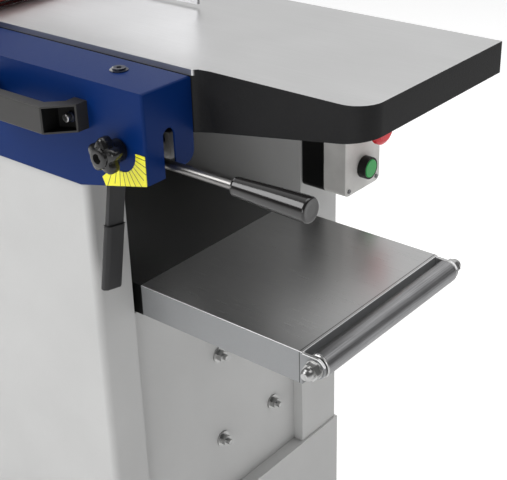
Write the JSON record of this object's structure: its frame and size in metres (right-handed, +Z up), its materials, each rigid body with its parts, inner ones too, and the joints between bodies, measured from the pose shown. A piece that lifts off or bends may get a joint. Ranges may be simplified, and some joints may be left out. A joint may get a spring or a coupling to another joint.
{
  "type": "thickness planer",
  "caption": "Combined surface planer and thicknesser with folding surfacing tables, front cover, depth lever and a rising thickness table with an end roller.",
  "frame": {"origin": "on the floor under the middle of the cutterblock", "axes": "+X along the thicknessing feed, towards the infeed surfacing table and the extension roller; +Y from the operator to the back; +Z up"},
  "size_m": [1.134, 0.518, 0.95],
  "materials": {
    "cabinet_paint": "light grey powder coat",
    "cover_paint": "blue powder coat",
    "machined_iron": "finely planed grey iron",
    "dark_iron": "dark cast iron",
    "bright_steel": "zinc plated or turned steel",
    "dark_steel": "dark brushed steel",
    "aluminium": "anodised aluminium",
    "bronze": "plain bronze",
    "black_plastic": "moulded black plastic",
    "grey_plastic": "moulded grey plastic",
    "graphite_plastic": "moulded graphite plastic",
    "gloss_black": "polished black plastic",
    "green_plastic": "green plastic",
    "red_plastic": "red plastic",
    "belt_rubber": "black belt",
    "scale_yellow": "yellow printed plate"
  },
  "bodies": {
    "cabinet": {"plinth": "cabinet_paint", "near_pillar": "cabinet_paint", "far_pillar": "cabinet_paint", "end_plates": "cabinet_paint", "plate_bolts": "bright_steel", "column_guide": "dark_iron", "motor": "dark_iron", "motor_bracket": "dark_iron", "near_head_plate": "dark_iron", "far_head_plate": "dark_iron", "cutter_bearings": "bright_steel", "belt_guard": "cabinet_paint", "drive_belt": "belt_rubber", "feed_chain": "dark_steel", "switch_box": "black_plastic", "switch_cover": "grey_plastic", "button_bezel": "black_plastic", "switch_screws": "bright_steel", "clamp_pivots": "bright_steel", "hinge_brackets": "bright_steel", "kickback_bar": "bright_steel"},
    "lifting_table": {"thickness_table": "machined_iron", "table_extension": "bright_steel", "lifting_column": "bright_steel", "lifting_nut": "bronze", "roller_axle": "bright_steel", "roller_nuts": "bright_steel"},
    "end_roller": {"table_roller": "dark_steel"},
    "screw": {"elevating_screw": "bright_steel"},
    "crank": {"handwheel_shaft": "bright_steel", "handwheel": "black_plastic"},
    "cutter": {"cutterblock": "bright_steel", "planer_knives": "bright_steel", "cutter_pulley": "dark_steel"},
    "motor_rotor": {"motor_pulley": "dark_steel"},
    "feed_in": {"toothed_feed_roller": "dark_steel"},
    "feed_out": {"smooth_feed_roller": "bright_steel"},
    "fingers": {"kickback_fingers": "dark_steel"},
    "folding_tables": {"table_frame": "dark_iron", "outfeed_table": "machined_iron", "front_cover": "cover_paint", "bow_handle": "graphite_plastic", "cover_screws": "bright_steel", "scale_plate": "scale_yellow", "guide_pins": "bright_steel"},
    "infeed": {"infeed_table": "machined_iron"},
    "lever": {"depth_lever": "bright_steel", "lever_grip": "gloss_black"},
    "knob": {"star_knob": "black_plastic"},
    "right_clamp": {"clamp_lever_right": "graphite_plastic", "clamp_grip_right": "graphite_plastic"},
    "left_clamp": {"clamp_lever_left": "graphite_plastic", "clamp_grip_left": "graphite_plastic"},
    "fence_carriage": {"fence_slide": "aluminium"},
    "fence_panel": {"fence": "aluminium"},
    "guard_post": {"guard_arm": "aluminium"},
    "guard": {"guard_plate": "red_plastic"},
    "start": {"start_button": "green_plastic"},
    "stop": {"stop_button": "red_plastic"}
  },
  "joints": [
    {"name": "table_lift", "type": "slide", "parent": "cabinet", "child": "lifting_table", "axis": [0, 0, 1], "range_m": [0, 0.2]},
    {"name": "end_roller_spin", "type": "hinge", "parent": "lifting_table", "child": "end_roller", "pos_m": [0.514, 0, 0.5605], "axis": [0, 1, 0], "continuous": true},
    {"name": "screw_turn", "type": "hinge", "parent": "cabinet", "child": "screw", "pos_m": [0, 0, 0.11], "axis": [0, 0, -1], "range_deg": [0, 14401]},
    {"name": "crank_turn", "type": "hinge", "parent": "cabinet", "child": "crank", "pos_m": [0, -0.1, 0.11], "axis": [0, 1, 0], "range_deg": [0, 14401]},
    {"name": "cutter_spin", "type": "hinge", "parent": "cabinet", "child": "cutter", "pos_m": [0, 0, 0.814], "axis": [0, 1, 0], "continuous": true},
    {"name": "motor_spin", "type": "hinge", "parent": "cabinet", "child": "motor_rotor", "pos_m": [0.15, 0.19, 0.095], "axis": [0, 1, 0], "continuous": true},
    {"name": "feed_in_spin", "type": "hinge", "parent": "cabinet", "child": "feed_in", "pos_m": [-0.062, 0, 0.797], "axis": [0, 1, 0], "continuous": true},
    {"name": "feed_out_spin", "type": "hinge", "parent": "cabinet", "child": "feed_out", "pos_m": [0.062, 0, 0.797], "axis": [0, 1, 0], "continuous": true},
    {"name": "fingers_swing", "type": "hinge", "parent": "cabinet", "child": "fingers", "pos_m": [-0.105, 0, 0.812], "axis": [0, -1, 0], "range_deg": [0, 28]},
    {"name": "tables_fold", "type": "hinge", "parent": "cabinet", "child": "folding_tables", "pos_m": [0, 0.205, 0.835], "axis": [-1, 0, 0], "range_deg": [0, 90]},
    {"name": "infeed_rise", "type": "slide", "parent": "folding_tables", "child": "infeed", "axis": [0, 0, 1], "range_m": [0, 0.003]},
    {"name": "depth_lever_swing", "type": "hinge", "parent": "folding_tables", "child": "lever", "pos_m": [0.332, -0.168, 0.777], "axis": [0, -1, 0], "range_deg": [0, 30.01]},
    {"name": "knob_turn", "type": "hinge", "parent": "folding_tables", "child": "knob", "pos_m": [0.332, -0.22, 0.777], "axis": [0, -1, 0], "range_deg": [0, 180]},
    {"name": "right_clamp_swing", "type": "hinge", "parent": "cabinet", "child": "right_clamp", "pos_m": [0.3, -0.176, 0.748], "axis": [1, 0, 0], "range_deg": [-3, 22]},
    {"name": "left_clamp_swing", "type": "hinge", "parent": "cabinet", "child": "left_clamp", "pos_m": [-0.3, -0.176, 0.748], "axis": [1, 0, 0], "range_deg": [-3, 22]},
    {"name": "fence_travel", "type": "slide", "parent": "folding_tables", "child": "fence_carriage", "axis": [0, 1, 0], "range_m": [0, 0.05]},
    {"name": "fence_tilt", "type": "hinge", "parent": "fence_carriage", "child": "fence_panel", "pos_m": [-0.1, 0.052, 0.862], "axis": [-1, 0, 0], "range_deg": [0, 45]},
    {"name": "guard_rise", "type": "slide", "parent": "folding_tables", "child": "guard_post", "axis": [0, 0, 1], "range_m": [0, 0.07]},
    {"name": "guard_travel", "type": "slide", "parent": "guard_post", "child": "guard", "axis": [0, -1, 0], "range_m": [0, 0.14]},
    {"name": "start_press", "type": "slide", "parent": "cabinet", "child": "start", "axis": [-1, 0, 0], "range_m": [0, 0.0027], "stiffness_N_per_m": 800},
    {"name": "stop_press", "type": "slide", "parent": "cabinet", "child": "stop", "axis": [-1, 0, 0], "range_m": [0, 0.006], "stiffness_N_per_m": 800}
  ],
  "couplings": [
    {"joint": "screw_turn", "follows": "table_lift", "rad_per_m": 1256.6},
    {"joint": "crank_turn", "follows": "table_lift", "rad_per_m": 1256.6},
    {"joint": "motor_spin", "follows": "cutter_spin", "ratio": 0.57447},
    {"joint": "feed_out_spin", "follows": "feed_in_spin", "ratio": 1},
    {"joint": "depth_lever_swing", "follows": "infeed_rise", "rad_per_m": 174.53}
  ]
}
